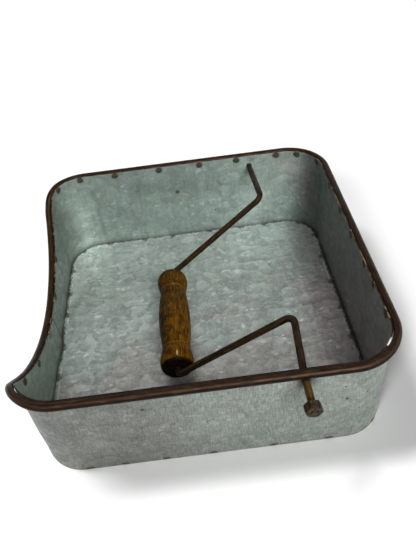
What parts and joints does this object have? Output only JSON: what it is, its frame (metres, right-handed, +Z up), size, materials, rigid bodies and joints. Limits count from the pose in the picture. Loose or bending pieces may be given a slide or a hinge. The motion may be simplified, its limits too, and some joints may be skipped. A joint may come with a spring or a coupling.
{
  "type": "napkin tray with swing arm",
  "caption": "Square galvanised tray with a scooped side, a wire-bound rim and a swinging rod arm whose turned wooden grip rests on what lies in the tray.",
  "frame": {"origin": "middle of the tray, on the surface it stands on", "axes": "+Z up, -X towards the scooped wall, the arm's pivot line and its grip along Y"},
  "size_m": [0.2144, 0.2312, 0.0718],
  "materials": {
    "galvanised_wall": "hot-dip galvanised, dull spangle",
    "galvanised_floor": "hot-dip galvanised, dull spangle",
    "rusted_wire": "brown rust, waxed",
    "burnt_weld": "burnt zinc with dark rust",
    "rusted_rod": "brown rust, waxed",
    "turned_wood": "dark honey stain, satin varnish",
    "rusted_nut": "grey-brown oxide"
  },
  "bodies": {
    "tray": {"wall_band": "galvanised_wall", "floor_pan": "galvanised_floor", "rim_wire": "rusted_wire", "rim_welds": "burnt_weld", "foot_welds": "burnt_weld"},
    "arm": {"swing_arm": "rusted_rod", "front_nut": "rusted_nut", "back_nut": "rusted_nut"},
    "grip": {"grip": "turned_wood"}
  },
  "joints": [
    {"name": "arm_swing", "type": "hinge", "parent": "tray", "child": "arm", "pos_m": [0.0512, 0, 0.0622], "axis": [0, 1, 0], "range_deg": [0, 201]},
    {"name": "grip_spin", "type": "hinge", "parent": "arm", "child": "grip", "pos_m": [-0.01838, -0.0073, 0.0155], "axis": [0, 1, 0], "continuous": true}
  ]
}
